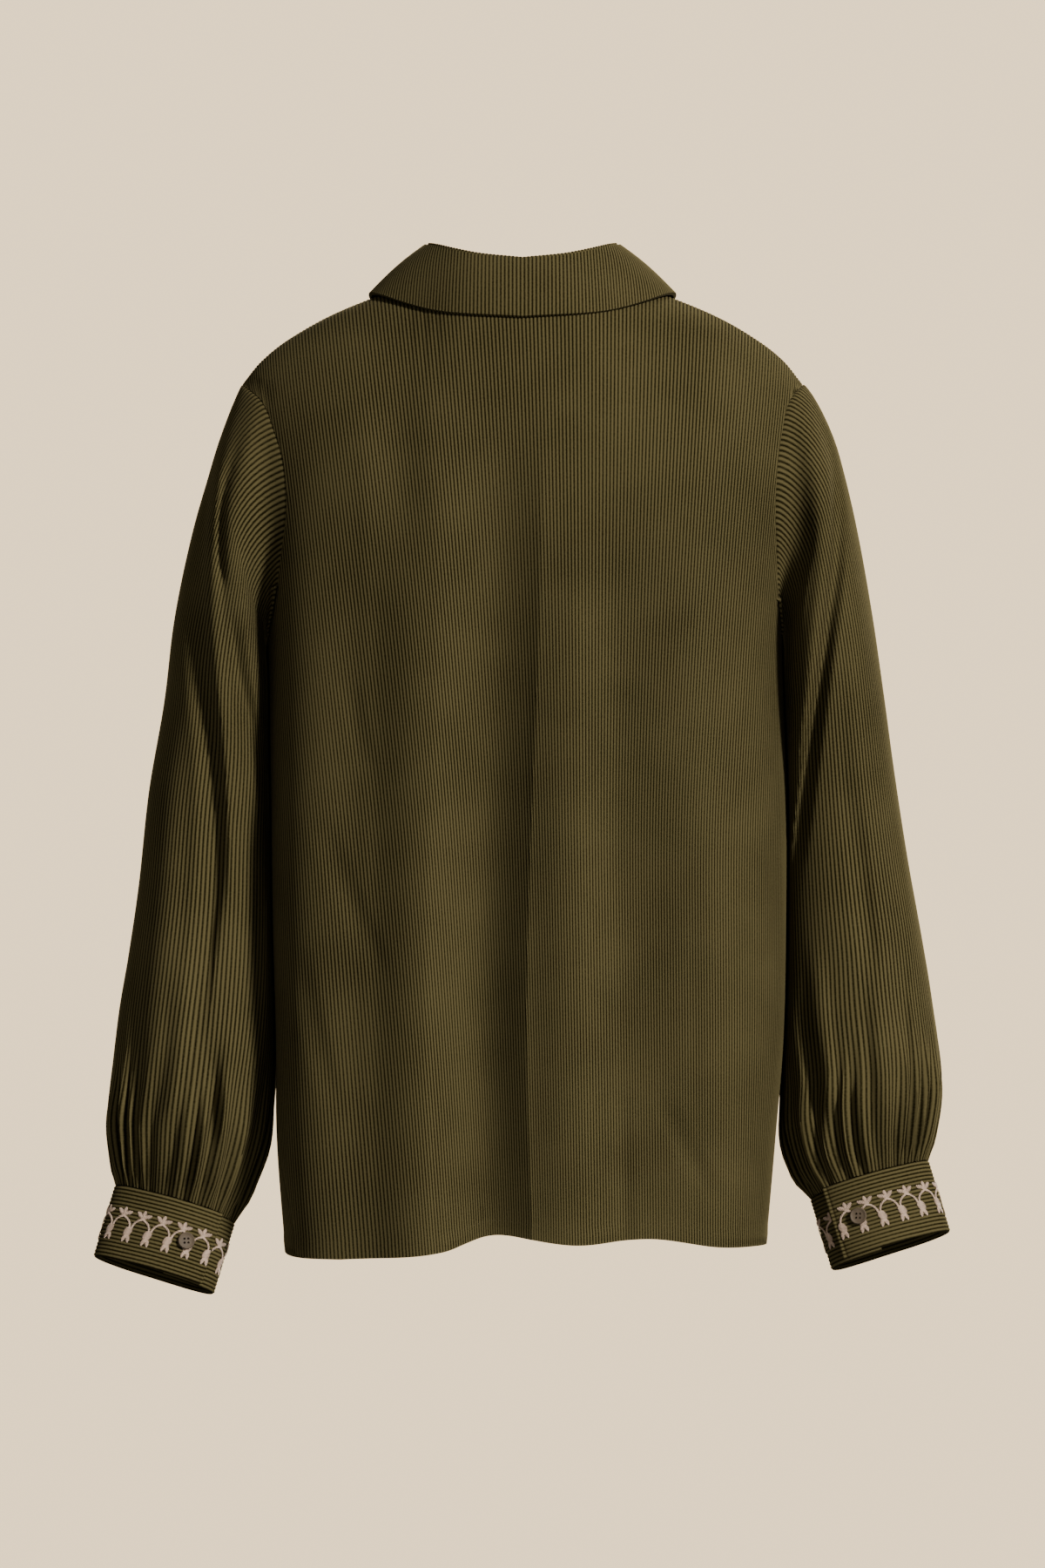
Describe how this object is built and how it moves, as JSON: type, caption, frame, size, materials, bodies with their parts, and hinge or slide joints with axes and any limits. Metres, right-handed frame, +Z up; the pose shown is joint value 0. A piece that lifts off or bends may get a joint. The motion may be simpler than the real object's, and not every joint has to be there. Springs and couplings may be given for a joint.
{
  "type": "corduroy shirt, filled out",
  "caption": "Olive corduroy shirt with a folded collar and full bishop sleeves gathered into deep cuffs with a flower border.",
  "frame": {"origin": "middle of the neck opening, level with the back of the neck seam, where the wearer's neck and shoulders hold the shirt", "axes": "+Z up along the body, +Y towards the back, +X towards the wearer's left; the shirt's front faces -Y"},
  "size_m": [0.5901, 0.2382, 0.7225],
  "materials": {
    "corduroy": "olive cotton corduroy, wales 2.7 mm apart",
    "button": "dark brown four-hole button, soft gloss",
    "embroidery": "pale beige embroidery thread",
    "sewing": "olive sewing thread"
  },
  "bodies": {
    "root": {"back": "corduroy", "front_left": "corduroy", "front_right": "corduroy", "sleeve_left": "corduroy", "sleeve_right": "corduroy", "slit_strip_left": "corduroy", "slit_strip_right": "corduroy", "cuff_left": "corduroy", "cuff_right": "corduroy", "collar_stand": "corduroy", "collar_fall": "corduroy", "cuff_button_left": "button", "cuff_button_right": "button", "front_button_1": "button", "front_button_2": "button", "front_button_3": "button", "front_button_4": "button", "front_button_5": "button", "front_button_6": "button", "front_button_7": "button"}
  },
  "joints": []
}
